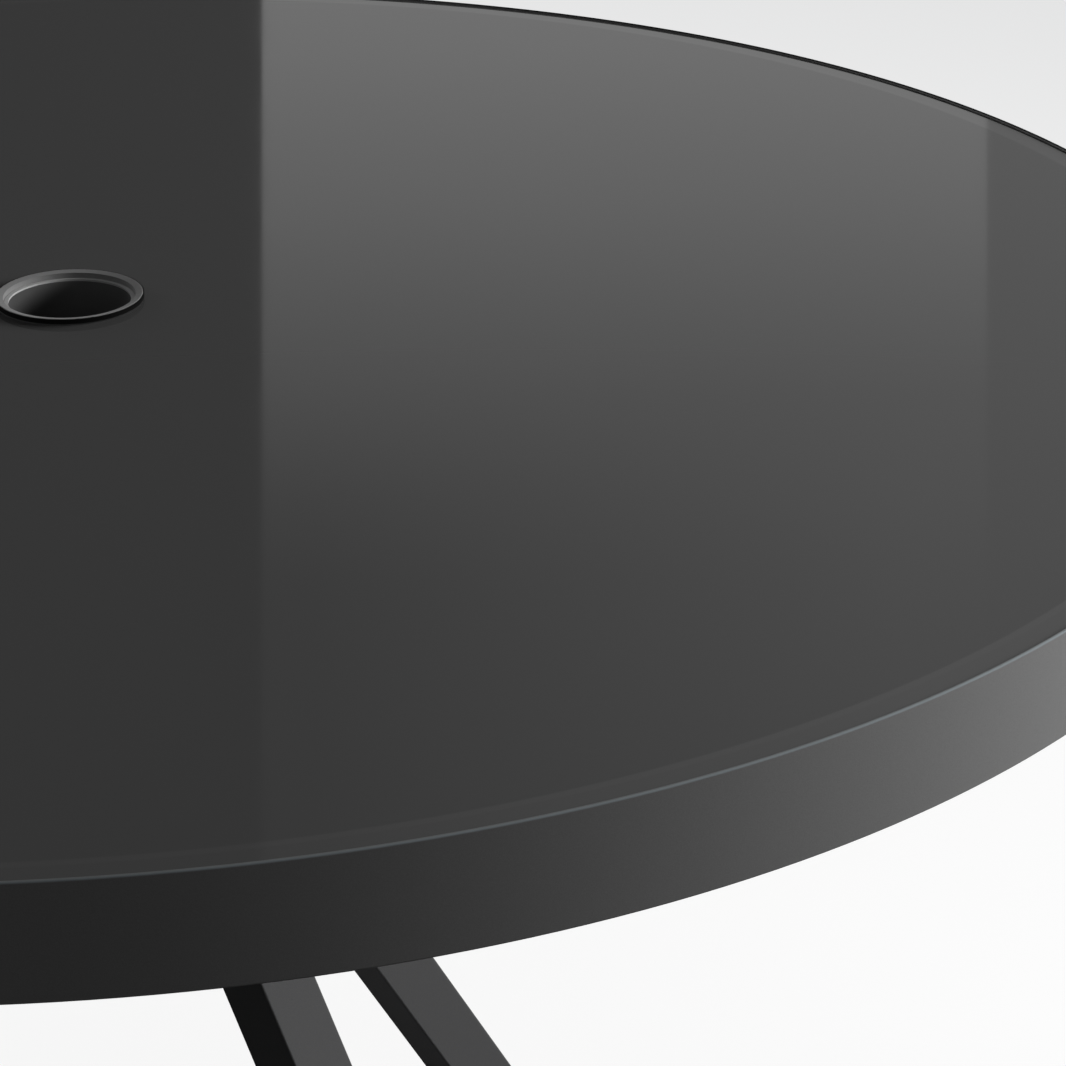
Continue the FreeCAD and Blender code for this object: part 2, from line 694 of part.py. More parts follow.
os.makedirs("parts", exist_ok=True)
for body in sub_parts:
    body.Shape.exportStep(os.path.join("parts", f"{body.Label}.step"))
    print(f"{body.Label}: {len(body.Shape.Solids)} solids, {body.Shape.Volume / 1000:.2f} cm3")
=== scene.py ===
import math
import bpy
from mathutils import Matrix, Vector


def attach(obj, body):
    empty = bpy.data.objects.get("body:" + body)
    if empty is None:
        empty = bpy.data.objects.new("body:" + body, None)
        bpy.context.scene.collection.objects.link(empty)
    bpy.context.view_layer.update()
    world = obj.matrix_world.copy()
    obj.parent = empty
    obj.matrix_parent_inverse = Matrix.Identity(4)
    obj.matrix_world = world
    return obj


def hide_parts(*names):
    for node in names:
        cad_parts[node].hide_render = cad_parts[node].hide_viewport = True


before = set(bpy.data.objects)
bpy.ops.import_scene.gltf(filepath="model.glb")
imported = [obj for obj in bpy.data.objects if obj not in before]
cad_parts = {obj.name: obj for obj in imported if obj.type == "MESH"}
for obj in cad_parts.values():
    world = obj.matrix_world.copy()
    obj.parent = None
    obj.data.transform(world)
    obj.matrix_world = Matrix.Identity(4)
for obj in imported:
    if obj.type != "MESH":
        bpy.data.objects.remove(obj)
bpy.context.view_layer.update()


# Legs
# Four splayed legs of 35 mm square steel tube, mitred upright where they meet the column.
# Their powder coat, a skin with a fine orange peel and a faint speckle, is given greys darker than
# the rim's.
CORNERS = {"front_right": -45.0, "back_right": 45.0, "back_left": 135.0, "front_left": 225.0}
COAT_DARK = (0.0625, 0.0625, 0.0635, 1.0)
COAT_LIGHT = (0.0765, 0.0765, 0.0775, 1.0)
COAT_ROUGHNESS = (0.52, 0.60)
COAT_SPECULAR = 0.10
COAT_SPECKLE = {"scale": 2600.0, "detail": 2.0}
COAT_SPECKLE_BAND = (0.35, 0.65)
COAT_PEEL = {"scale": 520.0, "detail": 3.0}
COAT_PEEL_RELIEF = {"strength": 0.10, "depth": 0.0002}
NOISE_BAND = (0.3, 0.7)


def add_node(finish, kind, inputs, **settings):
    """A node in a finish, its inputs given as plain values or as another node's output."""
    node = finish.node_tree.nodes.new(kind)
    for name, value in settings.items():
        setattr(node, name, value)
    for name, value in inputs.items():
        if isinstance(value, bpy.types.NodeSocket):
            finish.node_tree.links.new(value, node.inputs[name])
        else:
            node.inputs[name].default_value = value
    return node


def new_finish(name):
    """A material that knows the place on its piece, by which its patterns are laid."""
    finish = bpy.data.materials.new(name)
    finish.use_nodes = True
    add_node(finish, "ShaderNodeTexCoord", {})
    return finish


def place_on(finish):
    return finish.node_tree.nodes["Texture Coordinate"].outputs["Object"]


def shader_of(finish):
    return finish.node_tree.nodes["Principled BSDF"]


def set_sockets(finish, **values):
    """Set what is the same all over a piece, by sockets named with underscores for spaces."""
    for name, value in values.items():
        shader_of(finish).inputs[name.replace("_", " ")].default_value = value


def join_sockets(finish, **outputs):
    """Lead in what varies over a piece, by sockets named with underscores for spaces."""
    for name, output in outputs.items():
        finish.node_tree.links.new(output, shader_of(finish).inputs[name.replace("_", " ")])


def noise(finish, scale, detail):
    inputs = {"Vector": place_on(finish), "Scale": scale, "Detail": detail}
    return add_node(finish, "ShaderNodeTexNoise", inputs).outputs["Fac"]


def spread(finish, factor, results, limits=NOISE_BAND):
    """A number that goes from one result to the other as the factor goes through its limits."""
    inputs = {
        "Value": factor,
        "From Min": limits[0],
        "From Max": limits[1],
        "To Min": results[0],
        "To Max": results[1],
    }
    return add_node(finish, "ShaderNodeMapRange", inputs).outputs["Result"]


def blend_colours(finish, factor, stops):
    """A colour that runs through (position, colour) stops as the factor goes from 0 to 1."""
    ramp = add_node(finish, "ShaderNodeValToRGB", {"Fac": factor})
    elements = ramp.color_ramp.elements
    while len(elements) < len(stops):
        elements.new(0.5)
    for element, (position, colour) in zip(elements, stops):
        element.position = position
        element.color = colour
    return ramp.outputs["Color"]


def mottle(finish, grain, dark, light, band=NOISE_BAND):
    """A colour that goes from dark to light with a grain."""
    return blend_colours(finish, grain, [(band[0], dark), (band[1], light)])


def bump(finish, height, strength, depth):
    inputs = {"Height": height, "Strength": strength, "Distance": depth}
    return add_node(finish, "ShaderNodeBump", inputs).outputs["Normal"]


def coat_finish(name, dark, light, roughness, specular):
    finish = new_finish(name)
    speckle = noise(finish, **COAT_SPECKLE)
    peel = noise(finish, **COAT_PEEL)
    set_sockets(finish, Specular_IOR_Level=specular)
    join_sockets(
        finish,
        Base_Color=mottle(finish, speckle, dark, light, COAT_SPECKLE_BAND),
        Roughness=spread(finish, peel, roughness),
        Normal=bump(finish, peel, **COAT_PEEL_RELIEF),
    )
    return finish


def dress(finish, *names):
    """Give CAD nodes their finish."""
    for name in names:
        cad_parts[name].material_slots[0].material = finish


powder_coat = coat_finish("coat_darker_than_rim", COAT_DARK, COAT_LIGHT, COAT_ROUGHNESS, COAT_SPECULAR)
dress(powder_coat, *[f"leg_{corner}" for corner in CORNERS])


# Column and pole guide
# The column is an 80 mm square tube, coated as the legs are; the legs are welded to its faces.
# The guide in its lower mouth is a black nylon moulding that leads the umbrella pole down.
NYLON_DARK = (0.012, 0.012, 0.013, 1.0)
NYLON_LIGHT = (0.020, 0.020, 0.021, 1.0)
NYLON_ROUGHNESS = (0.45, 0.60)
MOULDED_GRAIN = {"scale": 1900.0, "detail": 4.0}
MOULDED_RELIEF = {"strength": 0.25, "depth": 0.0001}


def grained_finish(name, dark, light, roughness, grain, relief=None):
    """A finish with one grain in its colour and gloss, and with relief in its surface too."""
    finish = new_finish(name)
    pattern = noise(finish, **grain)
    join_sockets(
        finish,
        Base_Color=mottle(finish, pattern, dark, light),
        Roughness=spread(finish, pattern, roughness),
    )
    if relief:
        join_sockets(finish, Normal=bump(finish, pattern, **relief))
    return finish


nylon = grained_finish(
    "black_nylon", NYLON_DARK, NYLON_LIGHT, NYLON_ROUGHNESS, MOULDED_GRAIN, MOULDED_RELIEF
)
dress(powder_coat, "column")
dress(nylon, "pole_guide")


# Leg welds
# A bead of weld runs round each leg where it meets the column, coated over with the rest.
# Each run is a row of overlapping droplets, as the torch leaves them.
BEAD_RADIUS = 0.0024
BEAD_PITCH = 0.0026
BEAD_SQUASH = 0.62
BEAD_SEGMENTS = 10
BEAD_RINGS = 6
SHARP_ANGLE = 35.0
COLUMN_HALF = 0.040
LEG_HALF = 0.0175
LEG_SPLAY = math.radians(31.9)
FOOT_RADIUS = 0.380
LEG_HALF_RUN = LEG_HALF / math.cos(LEG_SPLAY)
LEG_LOW = (FOOT_RADIUS - LEG_HALF_RUN - COLUMN_HALF) / math.tan(LEG_SPLAY)
LEG_HIGH = (FOOT_RADIUS + LEG_HALF_RUN - COLUMN_HALF) / math.tan(LEG_SPLAY)


def start_fresh():
    """Nothing selected, so that an operator acts on the next piece alone."""
    bpy.ops.object.select_all(action="DESELECT")


def pick(piece):
    """Select one piece alone, for an operator to act on."""
    start_fresh()
    piece.select_set(True)
    bpy.context.view_layer.objects.active = piece


def settle(piece):
    """Put a piece's place into its mesh, so that its object sits at the origin."""
    pick(piece)
    bpy.ops.object.transform_apply(location=True, rotation=True, scale=True)
    return piece


def apply_modifier(piece, kind, **settings):
    modifier = piece.modifiers.new(kind.lower(), kind)
    for name, value in settings.items():
        setattr(modifier, name, value)
    bpy.context.view_layer.objects.active = piece
    bpy.ops.object.modifier_apply(modifier=modifier.name)
    return piece


def join_pieces(name, pieces):
    """One piece out of several, under its own name."""
    start_fresh()
    for piece in pieces:
        piece.select_set(True)
    bpy.context.view_layer.objects.active = pieces[0]
    bpy.ops.object.join()
    pieces[0].name = name
    return pieces[0]


def smooth(piece, degrees=SHARP_ANGLE):
    """Shade a piece smooth but for sharp edges, its broad faces flat up to rounded rims."""
    pick(piece)
    bpy.ops.object.shade_smooth_by_angle(angle=math.radians(degrees))
    return apply_modifier(piece, "WEIGHTED_NORMAL", keep_sharp=True)


def fit(piece, body, slot, finish, *stands_for):
    """Give a piece its finish and its body, and let it stand for the CAD nodes that it replaces."""
    piece.data.materials.clear()
    piece.data.materials.append(finish)
    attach(piece, body)
    if stands_for:
        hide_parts(*stands_for)
    return piece


def at_corner(azimuth, out, aside, height):
    """A point by its distance out along a corner's diagonal, its distance aside, and its height."""
    swing = math.radians(azimuth)
    x = out * math.cos(swing) - aside * math.sin(swing)
    y = out * math.sin(swing) + aside * math.cos(swing)
    return Vector((x, y, height))


def weld_run(start, end):
    """A straight run of weld from one point to another."""
    run = end - start
    count = round(run.length / BEAD_PITCH) + 1
    start_fresh()
    bpy.ops.mesh.primitive_uv_sphere_add(
        segments=BEAD_SEGMENTS, ring_count=BEAD_RINGS, radius=BEAD_RADIUS
    )
    bead = bpy.context.object
    bpy.ops.object.mode_set(mode="EDIT")
    bpy.ops.mesh.select_all(action="SELECT")
    bpy.ops.transform.resize(value=(BEAD_SQUASH, 1.0, 1.0))
    bpy.ops.object.mode_set(mode="OBJECT")
    apply_modifier(
        bead,
        "ARRAY",
        count=count,
        use_relative_offset=False,
        use_constant_offset=True,
        constant_offset_displace=(run.length / (count - 1), 0.0, 0.0),
    )
    bead.rotation_euler = run.to_track_quat("X", "Z").to_euler()
    bead.location = start
    return settle(bead)


def weld_round(name, points, closed=True):
    """Runs of weld from point to point, as one coated piece on the table."""
    ends = points[1:] + points[:1] if closed else points[1:]
    runs = [weld_run(start, end) for start, end in zip(points, ends)]
    return fit(smooth(join_pieces(name, runs)), "table", "powder_coat", powder_coat)


for corner, azimuth in CORNERS.items():
    weld_round(f"leg_weld_{corner}", [
        at_corner(azimuth, COLUMN_HALF, -LEG_HALF, LEG_LOW),
        at_corner(azimuth, COLUMN_HALF, LEG_HALF, LEG_LOW),
        at_corner(azimuth, COLUMN_HALF, LEG_HALF, LEG_HIGH),
        at_corner(azimuth, COLUMN_HALF, -LEG_HALF, LEG_HIGH),
    ])


# Base plate
# A round steel plate heads the pedestal, welded to the top of the column all the way round.
# The arms above lie on it, and eight bolts hold them.
PLATE_BOTTOM = 0.7024
COLUMN_CORNER_ROUND = 0.004
COLUMN_FLAT = COLUMN_HALF - COLUMN_CORNER_ROUND

dress(powder_coat, "base_plate")
weld_round("column_weld", [
    at_corner(CORNERS["back_right"], out, aside, PLATE_BOTTOM)
    for out, aside in (
        (COLUMN_HALF, -COLUMN_FLAT), (COLUMN_HALF, COLUMN_FLAT),
        (COLUMN_FLAT, COLUMN_HALF), (-COLUMN_FLAT, COLUMN_HALF),
        (-COLUMN_HALF, COLUMN_FLAT), (-COLUMN_HALF, -COLUMN_FLAT),
        (-COLUMN_FLAT, -COLUMN_HALF), (COLUMN_FLAT, -COLUMN_HALF),
    )
])


# Leg plugs and threaded inserts
# A black nylon plug closes each leg's cut end, pushed into the tube up to its flange.
# A turned brass bush moulded into it takes the foot's thread.
BRASS_DARK = (0.55, 0.40, 0.17, 1.0)
BRASS_LIGHT = (0.70, 0.53, 0.25, 1.0)
BRASS_ROUGHNESS = (0.25, 0.40)
BRASS_TARNISH = {"scale": 400.0, "detail": 3.0}

brass = grained_finish("turned_brass", BRASS_DARK, BRASS_LIGHT, BRASS_ROUGHNESS, BRASS_TARNISH)
set_sockets(brass, Metallic=1.0)
dress(nylon, *[f"leg_plug_{corner}" for corner in CORNERS])
dress(brass, "threaded_inserts")


# Levelling feet
# Each foot is a nylon pad with a zinc plated M8 stem swivelling in it; a 13 mm hexagon turns the
# stem, and its thread runs up into the plug's bush, so the foot goes down as it is turned.
ZINC_DARK = (0.42, 0.43, 0.45, 1.0)
ZINC_LIGHT = (0.60, 0.61, 0.63, 1.0)
ZINC_ROUGHNESS = (0.28, 0.42)
ZINC_SPANGLE = {"scale": 700.0, "detail": 4.0}
INSERT_MIDDLE = 0.029
LEVELLER_RADIUS = FOOT_RADIUS - INSERT_MIDDLE * math.tan(LEG_SPLAY)
DISC_RADIUS = 0.0070
DISC_BOTTOM = 0.0043
DISC_TOP = 0.0075
DISC_CHAMFER = 0.0005
STEM_NECK_RADIUS = 0.0033
STEM_TOP = 0.038
STEM_TIP_RADIUS = 0.0027
STEM_STEPS = 48
STEM_SHARP_ANGLE = 25.0
HEX_BOTTOM = 0.0109
HEX_TOP = 0.0159
HEX_FLATS = 0.013
HEX_CHAMFER_RISE = 0.0006
THREAD_CREST = 0.00395
THREAD_ROOT = 0.00330
THREAD_PITCH = 0.00125
THREAD_TURNS = 17
THREAD_STEPS = 24
MERGE_DISTANCE = 1e-6

zinc = grained_finish("zinc_plated_steel", ZINC_DARK, ZINC_LIGHT, ZINC_ROUGHNESS, ZINC_SPANGLE)
set_sockets(zinc, Metallic=1.0)


def turn(name, profile, steps, solid=False):
    """A piece turned about the upright axis: a circle drawn on through (radius, height) points.
    A ring's last point leads back to its first, and a solid piece is closed across both ends."""
    start_fresh()
    radius, height = profile[0]
    fill = "NGON" if solid else "NOTHING"
    bpy.ops.mesh.primitive_circle_add(vertices=steps, radius=radius, fill_type=fill)
    piece = bpy.context.object
    piece.name = name
    bpy.ops.object.mode_set(mode="EDIT")
    bpy.ops.mesh.select_mode(type="EDGE")
    bpy.ops.mesh.select_all(action="SELECT")
    bpy.ops.transform.translate(value=(0.0, 0.0, height))
    for next_radius, next_height in profile[1:] + ([] if solid else profile[:1]):
        rise = (0.0, 0.0, next_height - height)
        grow = next_radius / radius
        bpy.ops.mesh.extrude_edges_move(TRANSFORM_OT_translate={"value": rise})
        bpy.ops.transform.resize(value=(grow, grow, 1.0), center_override=(0.0, 0.0, 0.0))
        radius, height = next_radius, next_height
    if solid:
        bpy.ops.mesh.edge_face_add()
    bpy.ops.mesh.select_all(action="SELECT")
    bpy.ops.mesh.remove_doubles(threshold=MERGE_DISTANCE)
    bpy.ops.mesh.normals_make_consistent(inside=False)
    bpy.ops.object.mode_set(mode="OBJECT")
    return piece


def carve(piece, tool, operation):
    """Cut a piece by a tool or keep what lies in both, and throw the tool away."""
    apply_modifier(piece, "BOOLEAN", object=tool, operation=operation, solver="EXACT")
    bpy.data.objects.remove(tool)
    return piece


def hexagon_bar(flats, depth, middle):
    """An upright hexagonal bar, by its width across flats, its depth and its middle's height."""
    start_fresh()
    bpy.ops.mesh.primitive_cylinder_add(
        vertices=6, radius=flats / math.sqrt(3), depth=depth, location=(0.0, 0.0, middle)
    )
    return settle(bpy.context.object)


def hexagon_head():
    """A hexagon whose corners are turned off at both ends."""
    head = hexagon_bar(HEX_FLATS, HEX_TOP - HEX_BOTTOM, (HEX_BOTTOM + HEX_TOP) / 2)
    corner_radius = HEX_FLATS / math.sqrt(3)
    turned = turn("hexagon_turning", [
        (HEX_FLATS / 2, HEX_BOTTOM),
        (corner_radius, HEX_BOTTOM + HEX_CHAMFER_RISE),
        (corner_radius, HEX_TOP - HEX_CHAMFER_RISE),
        (HEX_FLATS / 2, HEX_TOP),
    ], STEM_STEPS, solid=True)
    return carve(head, turned, "INTERSECT")


def screw_thread():
    """A V thread: a triangle opened to one groove's bent line, then wound up along the axis."""
    start_fresh()
    bpy.ops.mesh.primitive_circle_add(vertices=3, radius=THREAD_CREST)
    thread = bpy.context.object
    flank_rise = THREAD_PITCH / 2
    groove = ((THREAD_ROOT, 0.0), (THREAD_CREST, flank_rise), (THREAD_ROOT, THREAD_PITCH))
    for vertex, (radius, height) in zip(thread.data.vertices, groove):
        vertex.co = (radius, 0.0, height)
    bpy.ops.object.mode_set(mode="EDIT")
    bpy.ops.mesh.select_mode(type="EDGE")
    bpy.ops.mesh.select_all(action="DESELECT")
    bpy.ops.object.mode_set(mode="OBJECT")
    for edge in thread.data.edges:
        low, high = sorted(thread.data.vertices[i].co.z for i in edge.vertices)
        edge.select = high - low > 1.5 * flank_rise
    bpy.ops.object.mode_set(mode="EDIT")
    bpy.ops.mesh.delete(type="EDGE")
    bpy.ops.object.mode_set(mode="OBJECT")
    apply_modifier(
        thread,
        "SCREW",
        axis="Z",
        steps=THREAD_STEPS,
        render_steps=THREAD_STEPS,
        iterations=THREAD_TURNS,
        screw_offset=THREAD_PITCH,
        use_merge_vertices=True,
        merge_threshold=MERGE_DISTANCE,
    )
    thread.location.z = HEX_TOP - flank_rise
    return settle(thread)


def level_stem(name):
    core = turn("stem_core", [
        (DISC_RADIUS - DISC_CHAMFER, DISC_BOTTOM),
        (DISC_RADIUS, DISC_BOTTOM + DISC_CHAMFER),
        (DISC_RADIUS, DISC_TOP),
        (STEM_NECK_RADIUS, DISC_TOP),
        (STEM_NECK_RADIUS, HEX_TOP + THREAD_PITCH * THREAD_TURNS),
        (STEM_TIP_RADIUS, STEM_TOP),
    ], STEM_STEPS, solid=True)
    return smooth(join_pieces(name, [core, hexagon_head(), screw_thread()]), STEM_SHARP_ANGLE)


def copy_to(piece, name, place):
    """A copy with its own mesh, moved from the origin to its place."""
    copied = piece.copy()
    copied.data = piece.data.copy()
    copied.name = name
    bpy.context.scene.collection.objects.link(copied)
    copied.location = place
    return settle(copied)


model_stem = level_stem("model_stem")
for corner, azimuth in CORNERS.items():
    stem_place = at_corner(azimuth, LEVELLER_RADIUS, 0.0, 0.0)
    stem = copy_to(model_stem, f"threaded_stem_{corner}", stem_place)
    fit(stem, f"stem_{corner}", "zinc_steel", zinc, f"leveller_stem_{corner}")
    dress(nylon, f"leveller_pad_{corner}")
bpy.data.objects.remove(model_stem)


# Arms and collar
# Four arms of 30 mm square tube reach from a square steel collar to under the rim's ledge.
# They are welded to the collar along their sides and tops, and coated with it.
ARM_HALF = 0.015
ARM_TOP = 0.7384
ARM_BOTTOM = 0.7084

dress(powder_coat, "frame_collar", *[f"support_arm_{corner}" for corner in CORNERS])
for corner, azimuth in CORNERS.items():
    weld_round(f"arm_weld_{corner}", [
        at_corner(azimuth, COLUMN_HALF, -ARM_HALF, ARM_BOTTOM + BEAD_RADIUS),
        at_corner(azimuth, COLUMN_HALF, -ARM_HALF, ARM_TOP),
        at_corner(azimuth, COLUMN_HALF, ARM_HALF, ARM_TOP),
        at_corner(azimuth, COLUMN_HALF, ARM_HALF, ARM_BOTTOM + BEAD_RADIUS),
    ], closed=False)


# Base bolts, washers and weld nuts
# Button head M8 bolts with hexagon sockets come up through washers and the plate, two to an arm,
# into nuts welded inside the arms. All are zinc plated.
BOLT_RADII = (0.060, 0.095)
BOLT_STEPS = 40
BOLT_SHANK_RADIUS = 0.0040
BOLT_END = 0.7208
BOLT_END_CHAMFER = 0.0008
BOLT_HEAD_RADIUS = 0.0070
BOLT_HEAD_TOP = 0.7008
BOLT_HEAD_HEIGHT = 0.0044
BOLT_HEAD_BOTTOM = BOLT_HEAD_TOP - BOLT_HEAD_HEIGHT
BOLT_SOCKET_FLATS = 0.005
BOLT_SOCKET_DEPTH = 0.0026
DOME_START = math.radians(30.0)
DOME_STEPS = 7
DOME_HEIGHT = 0.85 * BOLT_HEAD_HEIGHT
DOME_FLAT_RADIUS = 0.7 * BOLT_SOCKET_FLATS


def bolt_dome():
    """Points of a button head's round, from its widest to the flat about its socket."""
    points = []
    for step in range(DOME_STEPS):
        swing = DOME_START + (math.pi / 2 - DOME_START) * step / (DOME_STEPS - 1)
        reach = BOLT_HEAD_RADIUS * math.cos(swing) / math.cos(DOME_START)
        drop = (1.0 - math.sin(swing)) / (1.0 - math.sin(DOME_START))
        points.append((max(reach, DOME_FLAT_RADIUS), BOLT_HEAD_BOTTOM + DOME_HEIGHT * drop))
    return points


def button_bolt():
    bolt = turn("model_bolt", bolt_dome()[::-1] + [
        (BOLT_HEAD_RADIUS, BOLT_HEAD_TOP),
        (BOLT_SHANK_RADIUS, BOLT_HEAD_TOP),
        (BOLT_SHANK_RADIUS, BOLT_END - BOLT_END_CHAMFER),
        (BOLT_SHANK_RADIUS - BOLT_END_CHAMFER, BOLT_END),
    ], BOLT_STEPS, solid=True)
    socket = hexagon_bar(BOLT_SOCKET_FLATS, 2 * BOLT_SOCKET_DEPTH, BOLT_HEAD_BOTTOM)
    return smooth(carve(bolt, socket, "DIFFERENCE"))


model_bolt = button_bolt()
bolts = [
    copy_to(model_bolt, f"bolt_{corner}_{row}", at_corner(azimuth, out, 0.0, 0.0))
    for corner, azimuth in CORNERS.items()
    for row, out in enumerate(BOLT_RADII)
]
bpy.data.objects.remove(model_bolt)
fit(join_pieces("button_bolts", bolts), "table", "zinc_steel", zinc, "base_bolts")
dress(zinc, "base_washers", "weld_nuts")


# Rim
# One length of rolled aluminium section, bent to a circle with its joint ground flush; its ledge
# takes the glass. Along the lip its charcoal coat carries painted light: a cool painted highlight
# on the outer round, painted shade on the flat top and black painted shade on the inner face.
RIM_RADIUS = 0.610
RIM_INSIDE = 0.6078
RIM_TOP = 0.750
RIM_BOTTOM = 0.6988
RIM_EDGE_ROUND = 0.0010
RIM_ROUND_STEPS = 5
RIM_STEPS = 320
LEDGE_INSIDE = 0.5918
LEDGE_TOP = 0.7406
RETURN_INSIDE = 0.5958
RETURN_TOP = 0.7010
RIM_DARK = (0.183, 0.183, 0.183, 1.0)
RIM_LIGHT = (0.211, 0.211, 0.211, 1.0)
LIP_INSIDE = 0.6088
LIP_ROUND_REACH = 0.6096
# The lip's colours are painted light: black painted shade on its inner face, painted shade on its
# flat top, a cool painted highlight on its outer round.
LIP_PAINT_LIMITS = (RIM_TOP - 0.0010, RIM_TOP - 0.0007)
LIP_INNER_PAINTED_SHADE = (0.020, 0.020, 0.020, 1.0)
LIP_TOP_PAINTED_SHADE = (0.141, 0.147, 0.150, 1.0)
LIP_OUTER_PAINTED_HIGHLIGHT = (0.218, 0.242, 0.253, 1.0)
LIP_PAINTED_LIGHT_STOPS = ((0.0, LIP_INNER_PAINTED_SHADE), (0.08, LIP_TOP_PAINTED_SHADE), (0.5, LIP_TOP_PAINTED_SHADE), (1.0, LIP_OUTER_PAINTED_HIGHLIGHT))


def rounded_edge(middle_height, start):
    """Points round one of the rim's outer edges, by the round's middle and its first swing."""
    points = []
    for step in range(RIM_ROUND_STEPS):
        swing = math.radians(start + 90.0 * step / (RIM_ROUND_STEPS - 1))
        reach = RIM_RADIUS - RIM_EDGE_ROUND + RIM_EDGE_ROUND * math.cos(swing)
        points.append((reach, middle_height + RIM_EDGE_ROUND * math.sin(swing)))
    return points


def along(finish, axis):
    """How far a place on the piece lies along an axis."""
    return add_node(finish, "ShaderNodeSeparateXYZ", {0: place_on(finish)}).outputs[axis]


def from_axis(finish):
    """How far a place on the piece lies from the table's upright axis."""
    level = {0: place_on(finish), 1: (1.0, 1.0, 0.0)}
    flat = add_node(finish, "ShaderNodeVectorMath", level, operation="MULTIPLY").outputs["Vector"]
    return add_node(finish, "ShaderNodeVectorMath", {0: flat}, operation="LENGTH").outputs["Value"]


def part_way(finish, factor, start, end):
    """A share that grows from 0 to 1 as the factor goes from start to end."""
    return spread(finish, factor, (0.0, 1.0), (start, end))


def paint_wear_and_light(finish, share, colour):
    """Paint another colour over a coat by a share that varies over the piece, for painted light and
    shade, and for scuffs.
    """
    base = shader_of(finish).inputs["Base Color"]
    inputs = {"Fac": share, "Color1": base.links[0].from_socket, "Color2": colour}
    rubbed = add_node(finish, "ShaderNodeMixRGB", inputs)
    finish.node_tree.links.new(rubbed.outputs["Color"], base)


rim = turn("rolled_rim", [
    *rounded_edge(RIM_BOTTOM + RIM_EDGE_ROUND, -90.0),
    *rounded_edge(RIM_TOP - RIM_EDGE_ROUND, 0.0),
    (LIP_INSIDE, RIM_TOP),
    (LIP_INSIDE, LEDGE_TOP),
    (LEDGE_INSIDE, LEDGE_TOP),
    (LEDGE_INSIDE, ARM_TOP),
    (RIM_INSIDE, ARM_TOP),
    (RIM_INSIDE, RETURN_TOP),
    (RETURN_INSIDE, RETURN_TOP),
    (RETURN_INSIDE, RIM_BOTTOM),
], RIM_STEPS)

rim_coat = coat_finish("charcoal_rim_coat", RIM_DARK, RIM_LIGHT, COAT_ROUGHNESS, COAT_SPECULAR)
# Painted light and shade along the lip, over the coat.
lip_paint_share = part_way(rim_coat, along(rim_coat, "Z"), *LIP_PAINT_LIMITS)
across_lip = part_way(rim_coat, from_axis(rim_coat), LIP_INSIDE, LIP_ROUND_REACH)
paint_wear_and_light(rim_coat, lip_paint_share, blend_colours(rim_coat, across_lip, LIP_PAINTED_LIGHT_STOPS))
fit(smooth(rim), "table", "rim_coat", rim_coat, "rim")


# Rim screws and nuts
# Low head M5 screws hold the ledge down on the arms, two to an arm, with nuts inside the tubes.
# They lie under the glass and are zinc plated.
dress(zinc, "rim_screws", "rim_nuts")


# Bumpers
# Clear silicone buttons, stuck to the ledge and the arms, that the glass lies on.
# They are slightly milky, with a soft matt skin.
SILICONE_DARK = (0.50, 0.52, 0.52, 1.0)
SILICONE_LIGHT = (0.62, 0.64, 0.64, 1.0)
SILICONE_ROUGHNESS = (0.40, 0.52)
SILICONE_CLOUD = {"scale": 300.0, "detail": 2.0}

silicone = grained_finish(
    "clear_silicone", SILICONE_DARK, SILICONE_LIGHT, SILICONE_ROUGHNESS, SILICONE_CLOUD
)
dress(silicone, "ledge_pads", "arm_pads")


# Glass
# A disc of 6 mm toughened glass, painted dark on its underside, with ground edges.
# It lies loose on the bumpers inside the rim; its outer border is painted a little lighter for the
# ledge seen through it, glossier, and with a painted highlight line along the ledge's inner edge.
GLASS_RADIUS = 0.6083
GLASS_HOLE = 0.0368
GLASS_TOP = 0.7486
GLASS_BOTTOM = 0.7426
GLASS_ARRIS = 0.0008
GLASS_ROUGHNESS = (0.035, 0.050)
GLASS_SMEARS = {"scale": 9.0, "detail": 5.0}
GLASS_SPECULAR = 0.5
GLASS_PAINT = (0.064, 0.064, 0.064, 1.0)
BORDER_RADIUS = 0.5925
BORDER_SPECULAR = 0.85
BORDER_PAINT = (0.068, 0.068, 0.068, 1.0)
# A painted highlight line at the border's inner edge, along the ledge under the glass.
BORDER_PAINTED_HIGHLIGHT = (0.073, 0.073, 0.073, 1.0)
BORDER_EDGE = 0.06
BORDER_STOPS = (
    (0.0, GLASS_PAINT), (BORDER_EDGE, BORDER_PAINTED_HIGHLIGHT), (0.22, BORDER_PAINTED_HIGHLIGHT), (0.32, BORDER_PAINT),
)

glass = turn("glass_disc", [
    (GLASS_HOLE, GLASS_BOTTOM + GLASS_ARRIS),
    (GLASS_HOLE, GLASS_TOP - GLASS_ARRIS),
    (GLASS_HOLE + GLASS_ARRIS, GLASS_TOP),
    (GLASS_RADIUS - GLASS_ARRIS, GLASS_TOP),
    (GLASS_RADIUS, GLASS_TOP - GLASS_ARRIS),
    (GLASS_RADIUS, GLASS_BOTTOM + GLASS_ARRIS),
    (GLASS_RADIUS - GLASS_ARRIS, GLASS_BOTTOM),
    (GLASS_HOLE + GLASS_ARRIS, GLASS_BOTTOM),
], RIM_STEPS)

painted_glass = new_finish("painted_glass")
border = part_way(painted_glass, from_axis(painted_glass), BORDER_RADIUS, GLASS_RADIUS)
smears = noise(painted_glass, **GLASS_SMEARS)
border_gloss = spread(painted_glass, border, (GLASS_SPECULAR, BORDER_SPECULAR), (0.0, BORDER_EDGE))
join_sockets(
    painted_glass,
    Base_Color=blend_colours(painted_glass, border, BORDER_STOPS),
    Roughness=spread(painted_glass, smears, GLASS_ROUGHNESS),
    Specular_IOR_Level=border_gloss,
)
fit(smooth(glass), "table", "glass", painted_glass, "glass_top")
